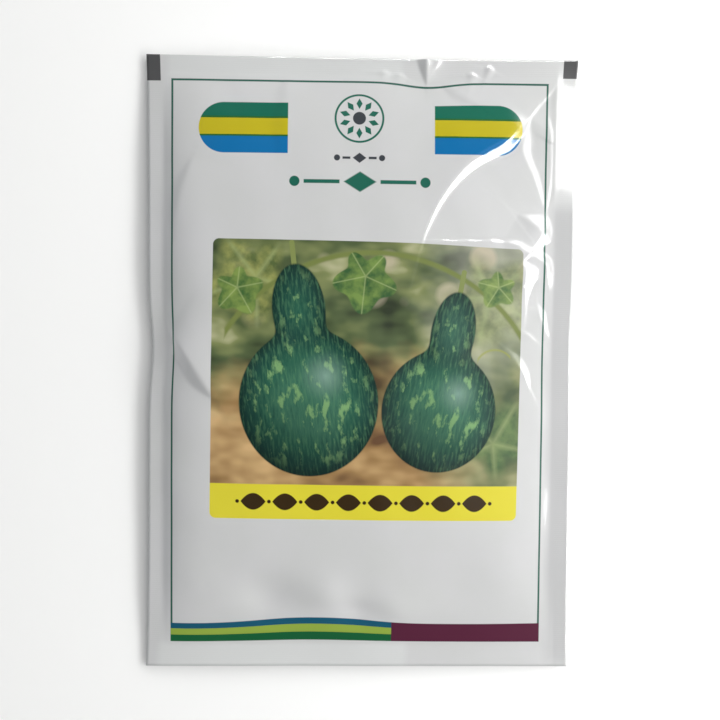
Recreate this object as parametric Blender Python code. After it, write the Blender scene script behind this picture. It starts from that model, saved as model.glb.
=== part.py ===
"""A sealed seed packet lying on its back: a front and a back panel of plastic film, heat-sealed together
along all four edges, with loose flat seeds inside.

Metres, +Z up. The packet's printed face looks up, its top edge lies towards +Y, and the origin is the middle
of the flat patch of the back panel that the packet rests on.
"""

import math
import random

import bmesh
import bpy
from mathutils import Vector

# The packet, measured on the flat film
PACKET_WIDTH = 0.128
PACKET_LENGTH = 0.183
FILM = 0.00015
LEFT_SEAL = 0.0042
RIGHT_SEAL = 0.0052
BOTTOM_SEAL = 0.0060
TOP_SEAL = 0.0048
SEAL_GAP = 0.0003

# How high the seals stand, and where they droop or curl over
SEAL_HEIGHT = 0.0034
CORNER_DROOP = 0.0014
LEFT_DROOP_SLOPE = 0.15
CURL_SLOPE = 0.36
CURL_FROM = 0.0580
CURL_LOW_END = (0.0440, 0.0600)
CURL_HIGH_END = (0.0800, 0.0920)

# The front's bulge. From each seal it rises by a steep share, a round hump and a slow rest: the reaches and shares
FRONT_RISE = 0.0069
SHOULDERS = {
    "left": (0.0024, 0.38, 0.0085, 0.27, 0.0350),
    "right": (0.0030, 0.00, 0.0085, 0.00, 0.0240),
    "bottom": (0.0030, 0.00, 0.0085, 0.00, 0.0210),
    "top": (0.0030, 0.00, 0.0085, 0.00, 0.0210),
}
SHOULDER_EASE = 0.0012
SEAL_EASE = 0.0030
BACK_SHOULDER = 0.0150

# How far the bulge draws the seals in between the corners, and the places where the film is drawn aside
SIDE_DRAW_IN = 0.0009
END_DRAW_IN = 0.0006
DRAW_IN_REACH = 0.0055
PULLS = {  # middle, reach and shift, across and along the packet
    "left_pinch": ((-0.0640, 0.0045), (0.0090, 0.0110), (0.0012, 0.0)),
    "right_pinch": ((0.0640, 0.0030), (0.0090, 0.0140), (-0.0005, 0.0)),
    "top_dip": ((0.0160, 0.0820), (0.0100, 0.0070), (0.0, -0.0006)),
    "corner_dip": ((0.0500, 0.0360), (0.0260, 0.0130), (0.0, -0.0013)),
    "bottom_rise": ((-0.0130, -0.0775), (0.0200, 0.0055), (0.0, 0.0013)),
}

# How finely each panel is divided between its seals
STEPS_ACROSS = 28
STEPS_ALONG = 42

# The main creases of the front panel. Each runs through places that also say how wide its steep wall is there,
# and falls on one side by that wall: on the left (1) or on the right (-1) of the way it runs
WALL_SLOPE = 0.44
CREASES = {
    "long_arc": (
        ((0.0488, 0.0738, 0.0014), (0.0409, 0.0684, 0.0050), (0.0318, 0.0611, 0.0038), (0.0238, 0.0517, 0.0030),
         (0.0182, 0.0395, 0.0013)),
        0.0110, 1,
    ),
    "right_leg": (
        ((0.0514, 0.0724, 0.0004), (0.0482, 0.0658, 0.0050), (0.0502, 0.0595, 0.0040), (0.0543, 0.0511, 0.0013)),
        0.0050, 1,
    ),
    "picture_edge": (
        ((0.0178, 0.0376, 0.0002), (0.0399, 0.0384, 0.0014), (0.0495, 0.0351, 0.0026), (0.0569, 0.0305, 0.0028),
         (0.0582, 0.0231, 0.0003)),
        0.0070, 1,
    ),
    "left_dent": (
        ((-0.0586, 0.0100, 0.0006), (-0.0548, 0.0069, 0.0034), (-0.0506, 0.0019, 0.0044), (-0.0466, -0.0040, 0.0040),
         (-0.0434, -0.0094, 0.0006)),
        0.0060, -1,
    ),
}
SWELLS = {  # middle, reach and height of soft ups and downs
    "bottom_swell": ((-0.0120, -0.0780), (0.0180, 0.0060), 0.0007),
    "bottom_dent": ((-0.0095, -0.0705), (0.0140, 0.0050), -0.00055),
    "top_dent": ((0.0275, 0.0825), (0.0040, 0.0042), -0.0004),
}

# The seeds: flat, narrow at one end, square-shouldered at the other
SEED_COUNT = 40
SEED_LENGTH = 0.0158
SEED_WIDTH = 0.0076
SEED_THICKNESS = 0.0027
SEED_FACE_SHARE = 0.80
SEED_GRADES = (0.94, 1.00, 1.06)
SEED_CLEARANCE = 0.0003
SEED_BED_WIDTH = 0.086
SEED_BED_LENGTH = 0.138
SEED_DRAWS = 20000
SEED_DRAW_START = 7
# Half outline of a seed, as shares of its length from the narrow end and of its half width
SEED_OUTLINE = ((0.0, 0.26), (0.10, 0.52), (0.40, 0.84), (0.78, 1.0), (0.95, 0.96), (1.0, 0.62))

HALF_WIDTH = PACKET_WIDTH / 2
HALF_LENGTH = PACKET_LENGTH / 2


def clear_scene():
    """Removes whatever the file already holds."""
    for old in list(bpy.data.objects):
        bpy.data.objects.remove(old)


def make_material(name, colour, roughness):
    """A plain Principled material of one colour."""
    material = bpy.data.materials.new(name)
    material.use_nodes = True
    shader = material.node_tree.nodes["Principled BSDF"]
    shader.inputs["Base Color"].default_value = (*colour, 1.0)
    shader.inputs["Roughness"].default_value = roughness
    shader.inputs["Metallic"].default_value = 0.0
    return material


def add_object(name, mesh, material):
    """Puts a mesh in the scene as one named object."""
    if not mesh.materials:
        mesh.materials.append(material)
    piece = bpy.data.objects.new(name, mesh)
    bpy.context.scene.collection.objects.link(piece)
    return piece


def smooth(share):
    """Eases a share that runs from 0 to 1, and holds it at 0 and 1 outside that."""
    held = max(0.0, min(1.0, share))
    return held * held * (3 - 2 * held)


def insets(across, along):
    """How far a flat film point lies inside the left, right, bottom and top seals, 0 on a seal."""
    return {
        "left": max(0.0, HALF_WIDTH - LEFT_SEAL + across),
        "right": max(0.0, HALF_WIDTH - RIGHT_SEAL - across),
        "bottom": max(0.0, HALF_LENGTH - BOTTOM_SEAL + along),
        "top": max(0.0, HALF_LENGTH - TOP_SEAL - along),
    }


def seal_level(across, along):
    """Height of the weld's middle plane, which droops at the corners and the left, and curls at the top right."""
    u = max(-1.0, min(1.0, across / (HALF_WIDTH - LEFT_SEAL)))
    v = max(-1.0, min(1.0, along / (HALF_LENGTH - TOP_SEAL)))
    low_end = smooth((along - CURL_LOW_END[0]) / (CURL_LOW_END[1] - CURL_LOW_END[0]))
    high_end = smooth((CURL_HIGH_END[1] - along) / (CURL_HIGH_END[1] - CURL_HIGH_END[0]))
    curl = CURL_SLOPE * max(0.0, across - CURL_FROM) * low_end * high_end
    left_droop = LEFT_DROOP_SLOPE * max(0.0, LEFT_SEAL - HALF_WIDTH - across)
    return SEAL_HEIGHT - CORNER_DROOP * u**4 * v**4 - curl - left_droop


def rise(across, along):
    """Share of the full bulge at a film point: 0 on the seals, nearly 1 in the middle."""
    total = 1.0
    for side, gap in insets(across, along).items():
        steep, steep_share, hump, hump_share, slow = SHOULDERS[side]
        eased = math.hypot(gap, SHOULDER_EASE) - SHOULDER_EASE
        rest = (1 - steep_share - hump_share) * math.exp(-eased / slow)
        total *= 1 - steep_share * math.exp(-eased / steep) - hump_share * math.exp(-((eased / hump) ** 2)) - rest
    return total


def crease_lift(here, path, reach, steep_side):
    """How much one crease raises a film point: its wall on the steep side, a slow fading on the other."""
    nearest = math.inf
    for low, high in zip(path, path[1:]):
        start, run = Vector(low[:2]), Vector(high[:2]) - Vector(low[:2])
        part = max(0.0, min(1.0, (here - start).dot(run) / run.length_squared))
        off_line = here - start - run * part
        if off_line.length < nearest:
            nearest = off_line.length
            side = steep_side if run.cross(off_line) > 0 else -steep_side
            width = low[2] + part * (high[2] - low[2])
    height = WALL_SLOPE * width / 1.5
    return height * (1 - smooth(nearest / width) if side > 0 else math.exp(-nearest / reach))


def crease_height(across, along):
    """Sum of the creases and swells at a film point, which fades out at the seals."""
    here = Vector((across, along))
    total = sum(crease_lift(here, *crease) for crease in CREASES.values())
    for middle, reach, height in SWELLS.values():
        off_across, off_along = (here[axis] - middle[axis] for axis in (0, 1))
        total += height * math.exp(-((off_across / reach[0]) ** 2) - (off_along / reach[1]) ** 2)
    return total * smooth(min(insets(across, along).values()) / SEAL_EASE)


def drawn_in(across, along):
    """Where a film point lies in plan: the bulge takes up film, which draws the seals in between the corners."""
    u, v = across / HALF_WIDTH, along / HALF_LENGTH
    gaps = insets(across, along)
    side_pull = SIDE_DRAW_IN * (1 - v**4) * math.exp(-min(gaps["left"], gaps["right"]) / DRAW_IN_REACH)
    end_pull = END_DRAW_IN * (1 - u**4) * math.exp(-min(gaps["bottom"], gaps["top"]) / DRAW_IN_REACH)
    place = Vector((across - math.copysign(side_pull, across), along - math.copysign(end_pull, along)))
    for middle, reach, shift in PULLS.values():
        off_across, off_along = (across - middle[0]) / reach[0], (along - middle[1]) / reach[1]
        place += Vector(shift) * math.exp(-(off_across**2) - off_along**2)
    return place


def front_point(across, along):
    """A point of the front panel's outer, printed face."""
    x, y = drawn_in(across, along)
    bulge = FRONT_RISE * rise(across, along) + crease_height(across, along)
    return Vector((x, y, seal_level(across, along) + SEAL_GAP / 2 + FILM + bulge))


def back_point(across, along):
    """A point of the back panel's outer face, which is flat at height 0 once it is a shoulder inside the seals."""
    x, y = drawn_in(across, along)
    gaps = insets(across, along)
    side_share = max(0.0, 1 - min(gaps["left"], gaps["right"]) / BACK_SHOULDER)
    end_share = max(0.0, 1 - min(gaps["bottom"], gaps["top"]) / BACK_SHOULDER)
    lift = 1 - (1 - side_share**2) * (1 - end_share**2)
    return Vector((x, y, (seal_level(across, along) - SEAL_GAP / 2 - FILM) * lift))


def stations(low_cut, low_seal, high_seal, high_cut, steps):
    """Where the panel is divided: at both cut edges, and evenly from one seal's inner edge to the other's."""
    inner = [low_seal + (high_seal - low_seal) * step / steps for step in range(steps + 1)]
    return [low_cut, *inner, high_cut]


def make_panel(name, point_of, material):
    """One film panel as a grid of triangles, with its outer face at point_of and its thickness inwards."""
    across = stations(-HALF_WIDTH, LEFT_SEAL - HALF_WIDTH, HALF_WIDTH - RIGHT_SEAL, HALF_WIDTH, STEPS_ACROSS)
    along = stations(-HALF_LENGTH, BOTTOM_SEAL - HALF_LENGTH, HALF_LENGTH - TOP_SEAL, HALF_LENGTH, STEPS_ALONG)
    columns, rows = len(across) - 1, len(along) - 1
    shape = bmesh.new()
    bmesh.ops.create_grid(shape, x_segments=columns, y_segments=rows, size=1.0)
    for corner in shape.verts:
        column = round((corner.co.x + 1) / 2 * columns)
        row = round((corner.co.y + 1) / 2 * rows)
        corner.co = point_of(across[column], along[row])
    bmesh.ops.triangulate(shape, faces=shape.faces[:], quad_method="FIXED")
    if point_of is back_point:
        bmesh.ops.reverse_faces(shape, faces=shape.faces[:])
    mesh = bpy.data.meshes.new(name)
    shape.to_mesh(mesh)
    shape.free()
    mesh.shade_smooth()
    panel = add_object(name, mesh, material)
    thickness = panel.modifiers.new("film", "SOLIDIFY")
    thickness.thickness = FILM
    thickness.offset = -1.0
    return panel


def seed_ring(shape, scale, face_share, height):
    """One closed ring of a seed's outline at a height, shrunk towards the middle by face_share."""
    half = [((along - 0.5) * SEED_LENGTH, side * SEED_WIDTH / 2) for along, side in SEED_OUTLINE]
    outline = half + [(x, -y) for x, y in reversed(half)]
    return [shape.verts.new((x * scale * face_share, y * scale * face_share, height * scale)) for x, y in outline]


def make_seed_mesh(grade, material):
    """A seed lying flat, its underside at height 0: two flat faces with a rim that stands out between them."""
    shape = bmesh.new()
    rings = [
        seed_ring(shape, grade, SEED_FACE_SHARE, 0.0),
        seed_ring(shape, grade, 1.0, SEED_THICKNESS / 2),
        seed_ring(shape, grade, SEED_FACE_SHARE, SEED_THICKNESS),
    ]
    for lower, upper in zip(rings, rings[1:]):
        for here in range(len(lower)):
            after = (here + 1) % len(lower)
            shape.faces.new((lower[here], lower[after], upper[after], upper[here]))
    shape.faces.new(rings[0])
    shape.faces.new(rings[-1])
    bmesh.ops.recalc_face_normals(shape, faces=shape.faces[:])
    mesh = bpy.data.meshes.new(f"seed_grade_{round(grade * 100)}")
    shape.to_mesh(mesh)
    shape.free()
    mesh.materials.append(material)
    return mesh


def apart(first, second):
    """Whether two seeds, each (place, angle, grade), lie clear of each other as rectangles."""
    frames = []
    for place, angle, grade in (first, second):
        lengthways = Vector((math.cos(angle), math.sin(angle)))
        sideways = Vector((-lengthways.y, lengthways.x))
        frames.append((place, ((lengthways, grade * SEED_LENGTH / 2), (sideways, grade * SEED_WIDTH / 2))))
    (first_place, first_axes), (second_place, second_axes) = frames
    between = second_place - first_place
    for axis, _ in (*first_axes, *second_axes):
        reach = sum(half * abs(direction.dot(axis)) for direction, half in (*first_axes, *second_axes))
        if abs(between.dot(axis)) > reach + SEED_CLEARANCE:
            return True
    return False


def scatter_seeds():
    """Places for the seeds in one loose layer: seeded random draws, each kept if it is clear of those before."""
    draw = random.Random(SEED_DRAW_START)
    placed = []
    for _ in range(SEED_DRAWS):
        if len(placed) == SEED_COUNT:
            break
        grade = SEED_GRADES[len(placed) % len(SEED_GRADES)]
        angle = draw.uniform(0.0, 2 * math.pi)
        margin = grade * SEED_LENGTH / 2
        place = Vector((
            draw.uniform(margin - SEED_BED_WIDTH / 2, SEED_BED_WIDTH / 2 - margin),
            draw.uniform(margin - SEED_BED_LENGTH / 2, SEED_BED_LENGTH / 2 - margin),
        ))
        candidate = (place, angle, grade)
        if all(apart(candidate, other) for other in placed):
            placed.append(candidate)
    return placed


def make_seeds(material):
    """Every seed as its own object, lying on the back panel."""
    meshes = {grade: make_seed_mesh(grade, material) for grade in SEED_GRADES}
    seeds = []
    for number, (place, angle, grade) in enumerate(scatter_seeds(), start=1):
        seed = add_object(f"seed_{number:02d}", meshes[grade], material)
        seed.location = (place.x, place.y, FILM + SEED_CLEARANCE)
        seed.rotation_euler.z = angle
        seeds.append(seed)
    return seeds


def main():
    """Builds the packet: both panels and the seeds between them."""
    clear_scene()
    front_film = make_material("front_film", (0.80, 0.80, 0.81), 0.22)
    back_film = make_material("back_film", (0.80, 0.80, 0.80), 0.25)
    seed_coat = make_material("seed_coat", (0.48, 0.33, 0.19), 0.60)
    make_panel("front_panel", front_point, front_film)
    make_panel("back_panel", back_point, back_film)
    make_seeds(seed_coat)


main()
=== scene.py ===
"""The looks of a sealed seed packet: two creased, glossy film panels, their print, the seeds and the studio.

Sizes in the classes are millimetres, and become metres where a mesh, lamp or camera is made. A place on the
flat film is given by how far it lies across the packet, to the reader's right, and along it, towards its top
edge, both from the packet's middle. The print is drawn in those same places, so it follows every crease.
"""

from __future__ import annotations

import logging
import math
from dataclasses import dataclass, replace
from enum import Enum
from functools import reduce
from typing import Protocol

import bpy
import numpy as np
from mathutils import Matrix, Vector

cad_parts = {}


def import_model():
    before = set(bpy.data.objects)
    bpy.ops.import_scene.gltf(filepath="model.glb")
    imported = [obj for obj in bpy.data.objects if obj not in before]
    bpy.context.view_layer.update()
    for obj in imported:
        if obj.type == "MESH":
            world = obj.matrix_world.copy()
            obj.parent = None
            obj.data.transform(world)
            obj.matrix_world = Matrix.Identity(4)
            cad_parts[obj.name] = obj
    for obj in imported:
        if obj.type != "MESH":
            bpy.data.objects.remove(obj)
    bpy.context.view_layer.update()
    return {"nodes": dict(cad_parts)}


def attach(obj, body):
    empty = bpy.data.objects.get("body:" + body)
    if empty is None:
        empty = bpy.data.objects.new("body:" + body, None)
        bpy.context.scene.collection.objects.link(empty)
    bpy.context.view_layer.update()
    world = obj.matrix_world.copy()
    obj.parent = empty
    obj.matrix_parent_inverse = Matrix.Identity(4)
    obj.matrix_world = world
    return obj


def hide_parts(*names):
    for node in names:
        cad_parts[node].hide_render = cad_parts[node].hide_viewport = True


MM = 0.001
FILM_MAP = "film_places"
ROOT_BODY = "root"

Place = tuple[float, float]
Array = np.ndarray

logger = logging.getLogger("seed_packet")


# Inks and small helpers


def linear(hex_colour: str) -> tuple[float, float, float, float]:
    """Turns a screen colour into the linear colour that shaders take.

    Args:
        hex_colour: a colour such as "#1f6b5a", as it looks on a screen.

    Returns:
        Red, green and blue from 0 to 1, and an alpha of 1.
    """
    parts = [int(hex_colour[start : start + 2], 16) / 255 for start in (1, 3, 5)]
    red, green, blue = (
        part / 12.92 if part <= 0.04045 else ((part + 0.055) / 1.055) ** 2.4 for part in parts
    )
    return red, green, blue, 1.0


class Ink(Enum):
    """The printing inks, and the tints of painted light and painted shade on the seals, as they look on a
    screen.
    """

    GROUND = "#dbdbdc"
    LINE_GREEN = "#346457"
    BAR_GREEN = "#006c55"
    SEAM_GREEN = "#23692c"
    BAR_YELLOW = "#cabb1a"
    BAR_BLUE = "#0073b2"
    STRIPE_BLUE = "#0e5a76"
    STRIPE_LIME = "#9bb547"
    STRIPE_GREEN = "#0a6236"
    STRIPE_MAROON = "#5a1f3a"
    MARK_GREY = "#555556"
    BADGE_GREEN = "#226a58"
    BADGE_DARK = "#40444a"
    BAND_YELLOW = "#e9dd3f"
    BAND_BROWN = "#3a2a14"
    TABLE_GREY = "#8f9a97"
    PALE_GREEN = "#cfe0d4"
    # Painted light: a lighter tint that brightens the left parts of the head and foot seals.
    SEAL_WHITE = "#e3e5e4"
    # Painted shade: a soft grey tint that darkens the right seal.
    SEAL_GREY = "#c9c9ca"


class Side(Enum):
    """The two sides of a line, as seen by someone who walks along it."""

    LEFT = 1.0
    RIGHT = -1.0


class Face(Enum):
    """Which of the packet's two panels a piece is."""

    FRONT = "front"
    BACK = "back"


def smooth(share: Array) -> Array:
    """Eases a share that runs from 0 to 1, and holds it at 0 and 1 outside that."""
    held = np.clip(share, 0.0, 1.0)
    return held * held * (3.0 - 2.0 * held)


# How the film lies


def even_fall(share: Array, ease: float) -> Array:
    """Falls from 0 to -1 as a share runs from 0 to 1: at one even slope, apart from the eased ends.

    Args:
        share: the shares, which are held at 0 and 1 outside that.
        ease: how much of the run each end takes.

    Returns:
        The fall at each share.
    """
    held = np.clip(share, 0.0, 1.0)
    start = np.minimum(held, ease) ** 2 / (2 * ease)
    middle = np.clip(held - ease, 0.0, 1.0 - 2 * ease)
    end = np.maximum(held - 1.0 + ease, 0.0)
    return -(start + middle + end - end**2 / (2 * ease)) / (1.0 - ease)


@dataclass(frozen=True)
class Crease:
    """A fold line on the front panel, where the film steps down steeply on one side.

    The line is a smooth curve through the places of path, each of which also says how wide the wall is
    there. On the steep side the film falls by that wall, at the given slope. The ridge stands out by
    far_share of that and sinks back slowly over reach on its other side. The foot lies as much lower, and
    rises over return_reach.
    """

    path: tuple[tuple[float, float, float], ...]
    slope: float = 0.44
    reach: float = 7.0
    far_share: float = 1.0
    return_reach: float = 16.0
    ease: float = 0.2
    steep: Side = Side.LEFT
    steps: int = 5
    thinnest: float = 0.05

    def points(self) -> Array:
        """Turns the path into a smooth curve.

        Returns:
            The curve's points, each with the wall's width as its third number.
        """
        knots = np.array(self.path)
        knots = np.concatenate([2 * knots[:1] - knots[1:2], knots, 2 * knots[-1:] - knots[-2:-1]])
        found = [knots[1:2]]
        for before, low, high, after in zip(knots, knots[1:], knots[2:], knots[3:]):
            t = np.linspace(0.0, 1.0, self.steps + 1)[1:, None]
            bend = 2 * before - 5 * low + 4 * high - after
            twist = 3 * low - before - 3 * high + after
            found.append(low + 0.5 * t * (high - before + t * (bend + t * twist)))
        return np.concatenate(found)

    def lift(self, across: Array, along: Array) -> Array:
        """Works out how much the crease raises the film.

        Args:
            across: places across the film.
            along: places along the film.

        Returns:
            The rise at each place.
        """
        gap, side, width = (np.full(across.shape, value) for value in (np.inf, 1.0, 0.0))
        points = self.points()
        for low, high in zip(points, points[1:]):
            run = (high - low)[:2]
            part = np.clip(((across - low[0]) * run[0] + (along - low[1]) * run[1]) / (run @ run), 0.0, 1.0)
            off_across = across - low[0] - part * run[0]
            off_along = along - low[1] - part * run[1]
            here = np.hypot(off_across, off_along)
            nearer = here < gap
            gap = np.where(nearer, here, gap)
            side = np.where(nearer, np.sign(run[0] * off_along - run[1] * off_across), side)
            width = np.where(nearer, low[2] + part * (high[2] - low[2]), width)
        height = self.slope * width * (1.0 - self.ease)
        off_line = gap * side * self.steep.value
        wall = self.far_share + even_fall(off_line / np.maximum(width, self.thinnest), self.ease)
        foot = np.exp(-np.maximum(off_line - width, 0.0) / self.return_reach)
        ridge = self.far_share * np.exp(np.minimum(off_line, 0.0) / self.reach)
        return height * np.where(off_line > 0, wall * np.where(off_line > width, foot, 1.0), ridge)


@dataclass(frozen=True)
class Swell:
    """A soft rise or dent of the film, longer one way than the other."""

    middle: Place
    reach: Place
    height: float
    turn: float = 0.0

    def lift(self, across: Array, along: Array) -> Array:
        """Works out how much the swell raises the film.

        Args:
            across: places across the film.
            along: places along the film.

        Returns:
            The rise at each place.
        """
        turn = math.radians(self.turn)
        off_across, off_along = across - self.middle[0], along - self.middle[1]
        length = off_across * math.cos(turn) + off_along * math.sin(turn)
        breadth = off_along * math.cos(turn) - off_across * math.sin(turn)
        return self.height * np.exp(-((length / self.reach[0]) ** 2) - (breadth / self.reach[1]) ** 2)


@dataclass(frozen=True)
class Pull:
    """A place where the film, and the print on it, is drawn aside in plan."""

    middle: Place
    reach: Place
    shift: Place

    def share(self, across: Array, along: Array) -> Array:
        """Works out how much of the full shift each place gets.

        Args:
            across: places across the film.
            along: places along the film.

        Returns:
            The share at each place.
        """
        off_across = (across - self.middle[0]) / self.reach[0]
        off_along = (along - self.middle[1]) / self.reach[1]
        return np.exp(-(off_across**2) - off_along**2)


@dataclass(frozen=True)
class Ripples:
    """The faint unevenness of film that lies over loose seeds: many low waves that run every way."""

    height: float
    shortest: float
    longest: float
    waves: int
    start: int

    def lift(self, across: Array, along: Array) -> Array:
        """Works out how much the ripples raise the film.

        Args:
            across: places across the film.
            along: places along the film.

        Returns:
            The rise at each place.
        """
        draw = np.random.default_rng(self.start)
        total = np.zeros(across.shape)
        for _ in range(self.waves):
            length = draw.uniform(self.shortest, self.longest)
            heading = draw.uniform(0.0, 2 * math.pi)
            phase = draw.uniform(0.0, 2 * math.pi)
            walk = across * math.cos(heading) + along * math.sin(heading)
            total += np.sin(2 * math.pi * walk / length + phase)
        return self.height * total / math.sqrt(self.waves)


@dataclass(frozen=True)
class Shoulder:
    """How the bulge rises from a seal: a share of it steeply, a share in a round hump, the rest slowly."""

    slow: float
    steep: float = 3.0
    steep_share: float = 0.0
    hump: float = 8.5
    hump_share: float = 0.0

    def rise(self, gap: Array) -> Array:
        """Works out how far the film has risen.

        Args:
            gap: how far inside the seal each place lies.

        Returns:
            The share of the full bulge at each place.
        """
        steep = self.steep_share * np.exp(-gap / self.steep)
        hump = self.hump_share * np.exp(-((gap / self.hump) ** 2))
        slow = (1.0 - self.steep_share - self.hump_share) * np.exp(-gap / self.slow)
        return 1.0 - steep - hump - slow


@dataclass(frozen=True)
class FilmForm:
    """The packet's form: its sizes, as in the solids, and everything that bends its film."""

    width: float = 128.0
    length: float = 183.0
    film: float = 0.15
    left_seal: float = 4.2
    right_seal: float = 5.2
    top_seal: float = 4.8
    bottom_seal: float = 6.0
    seal_gap: float = 0.3
    seal_height: float = 3.4
    corner_droop: float = 1.4
    front_rise: float = 6.9
    left_shoulder: Shoulder = Shoulder(35.0, steep=2.2, steep_share=0.44, hump_share=0.25)
    right_shoulder: Shoulder = Shoulder(24.0)
    bottom_shoulder: Shoulder = Shoulder(21.0)
    top_shoulder: Shoulder = Shoulder(21.0)
    back_shoulder: float = 15.0
    side_draw_in: float = 0.9
    end_draw_in: float = 0.6
    draw_in_reach: float = 5.5
    left_droop: float = 0.15
    wave_power: int = 8
    curl_slope: float = 0.36
    curl_from: float = 58.0
    curl_top: Place = (92.0, 80.0)
    curl_bottom: Place = (44.0, 60.0)
    edge_ease: float = 1.2
    seal_ease: float = 3.0
    creases: tuple[Crease, ...] = (
        # From the top right corner in to the striped bar, then down in a long arc to the picture's top edge
        Crease(
            (
                (59.1, 86.1, 0.5), (55.7, 81.8, 0.7), (52.0, 77.4, 0.7), (48.8, 73.8, 1.2), (45.4, 70.8, 3.6),
                (41.3, 67.6, 5.2), (36.8, 64.9, 4.8), (31.6, 61.3, 3.9), (27.3, 56.6, 2.9), (23.8, 51.7, 2.2),
                (20.9, 46.4, 1.7), (18.2, 39.5, 1.0), (16.9, 34.2, 0.2),
            ),
            slope=0.54,
            reach=8.0,
            far_share=0.5,
            ease=0.3,
        ),
        # Its other leg, down the right shoulder, and the thin outer line beside it
        Crease(
            (
                (49.6, 74.0, 0.3), (47.6, 70.6, 3.6), (46.8, 67.0, 4.4), (47.3, 63.4, 3.6), (48.9, 60.0, 2.9),
                (50.7, 56.8, 2.5), (52.2, 53.2, 2.0), (53.6, 49.8, 1.2), (54.6, 47.9, 0.2),
            ),
            slope=0.28,
            reach=8.0,
            far_share=0.35,
            ease=0.3,
        ),
        Crease(
            (
                (55.6, 74.0, 0.3), (56.2, 69.7, 1.2), (56.4, 64.7, 1.5), (56.4, 59.5, 1.5), (56.2, 54.6, 1.3),
                (55.7, 50.6, 0.9), (55.2, 47.5, 0.2),
            ),
            slope=0.40,
            reach=3.5,
        ),
        # The leaf-shaped pucker below them
        Crease(
            ((46.5, 46.2, 0.2), (49.3, 44.4, 3.0), (52.4, 42.2, 5.5), (54.9, 40.8, 4.0), (56.6, 38.7, 0.4)),
            slope=0.25,
        ),
        # The thin line along the picture's top edge, and the wider one that goes on down the shoulder
        Crease(
            ((17.8, 37.6, 0.4), (25.8, 37.6, 1.1), (34.1, 37.9, 1.2), (39.0, 38.3, 1.0), (42.0, 38.3, 0.2)),
            slope=0.48,
        ),
        Crease(
            (
                (38.6, 38.1, 0.3), (41.5, 38.2, 1.0), (45.7, 37.4, 2.0), (49.5, 35.1, 2.6), (53.7, 33.0, 3.0),
                (56.9, 30.5, 2.8), (58.0, 27.0, 1.6), (58.2, 23.1, 0.3),
            ),
            slope=0.33,
        ),
        # Short facets between the picture and the border line
        Crease(
            (
                (47.9, 33.2, 0.4), (48.1, 30.1, 5.5), (48.5, 25.6, 3.5), (48.8, 20.5, 1.2), (48.7, 14.9, 0.8),
                (48.3, 10.4, 0.2),
            ),
            slope=0.21,
            reach=5.0,
        ),
        Crease(((47.1, 11.3, 0.3), (50.0, 9.6, 1.0), (53.0, 7.7, 0.3)), slope=0.30, reach=3.0),
        Crease(
            ((53.1, 19.0, 0.4), (53.5, 15.9, 2.6), (55.5, 11.9, 1.4), (57.9, 8.3, 0.3)),
            slope=0.22,
            reach=4.0,
        ),
        Crease(
            ((41.2, 7.1, 0.4), (45.0, 2.9, 2.4), (48.2, -1.3, 2.4), (50.6, -5.5, 0.5)),
            slope=0.28,
            reach=5.0,
        ),
        # The dark dent that runs in from the pinched left edge
        Crease(
            (
                (-58.6, 10.0, 0.6), (-54.8, 6.9, 3.4), (-50.6, 1.9, 4.4), (-46.6, -4.0, 4.0),
                (-43.4, -9.4, 0.6),
            ),
            slope=0.60,
            reach=14.0,
            steep=Side.RIGHT,
        ),
        # The dull streak from the top pleat to the striped bar
        Crease(
            ((23.0, 85.6, 0.5), (26.3, 83.6, 3.0), (29.2, 81.6, 4.0), (32.2, 79.4, 3.0), (34.5, 77.4, 0.5)),
            slope=0.20,
            reach=5.0,
            far_share=0.5,
            ease=0.5,
            steep=Side.RIGHT,
        ),
        # A dull streak from the top seal to the left striped bar, and one inside the left border line
        Crease(
            (
                (-21.5, 88.0, 0.5), (-22.0, 82.0, 3.6), (-22.5, 75.0, 4.6), (-23.5, 68.0, 3.6),
                (-24.5, 61.0, 0.5),
            ),
            slope=0.16,
            reach=6.0,
            far_share=0.5,
            ease=0.5,
            steep=Side.RIGHT,
        ),
        Crease(
            (
                (-50.0, 61.0, 0.5), (-51.3, 56.0, 3.0), (-53.2, 50.0, 3.8), (-54.8, 44.0, 3.0),
                (-56.0, 38.0, 0.5),
            ),
            slope=0.36,
            reach=6.0,
            far_share=0.5,
            ease=0.45,
            steep=Side.RIGHT,
        ),
    )
    pleats: tuple[Crease, ...] = (
        # The pleat in the top seal, and the small glints beside it
        Crease(
            ((18.8, 92.4, 3.6), (18.8, 89.6, 2.8), (18.7, 85.3, 0.3)),
            slope=0.60,
            reach=2.4,
            steep=Side.RIGHT,
        ),
        Crease(((22.4, 92.5, 1.8), (21.5, 90.2, 1.3), (19.9, 87.7, 0.2)), slope=0.40, reach=1.2),
        Crease(((4.3, 87.7, 0.3), (6.1, 87.5, 1.1), (7.8, 87.0, 0.3)), slope=0.46, reach=3.0),
        Crease(((9.0, 87.2, 0.3), (10.8, 86.9, 1.1), (12.9, 86.3, 0.3)), slope=0.46, reach=3.0),
        Crease(((30.4, 87.2, 0.3), (32.3, 86.9, 1.2), (34.2, 86.3, 0.3)), slope=0.46, reach=3.0),
        Crease(((35.8, 89.2, 0.3), (37.3, 88.8, 1.5), (38.9, 88.1, 0.3)), slope=0.44, reach=3.0),
    )
    swells: tuple[Swell, ...] = (
        # Soft ups and downs below the picture, and in the top right corner
        Swell((-12.0, -79.0), (18.0, 5.0), 0.50),
        Swell((-27.0, -69.0), (8.0, 7.5), -1.25),
        Swell((-9.5, -68.5), (6.5, 6.5), 0.90),
        Swell((-1.0, -74.0), (5.5, 4.5), -0.65),
        Swell((11.0, -73.0), (7.5, 5.0), 0.60, turn=-20.0),
        Swell((30.0, -66.0), (9.0, 8.0), -0.45, turn=30.0),
        Swell((-40.0, 80.5), (4.0, 5.0), -0.20, turn=20.0),
    )
    ripples: tuple[Ripples, ...] = (
        Ripples(height=0.10, shortest=16.0, longest=38.0, waves=14, start=11),
        Ripples(height=0.012, shortest=5.0, longest=9.0, waves=12, start=5),
    )
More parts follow.
